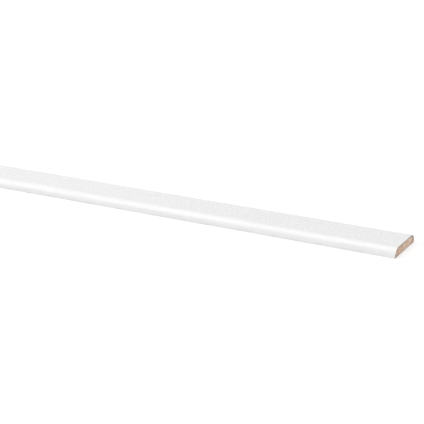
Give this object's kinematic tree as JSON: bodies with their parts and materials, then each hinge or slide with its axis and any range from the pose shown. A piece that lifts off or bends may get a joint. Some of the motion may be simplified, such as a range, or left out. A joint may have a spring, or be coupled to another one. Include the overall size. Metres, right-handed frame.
{
  "type": "cover strip",
  "caption": "Flat cover strip with both long edges rounded: an MDF core wrapped in white foil, bare along the middle of its back, glued or pinned over a joint.",
  "frame": {"origin": "middle of the back, in the plane of the two foil laps that the strip lies on", "axes": "+X along the strip towards the sawn end that the picture shows, +Y across its width, +Z out of the white face"},
  "size_m": [2.4, 0.028, 0.005],
  "materials": {
    "mdf": "sawn and sanded medium density fibreboard, matt",
    "white_foil": "smooth satin white foil"
  },
  "bodies": {
    "root": {"mdf_core": "mdf", "foil_wrap": "white_foil"}
  },
  "joints": []
}
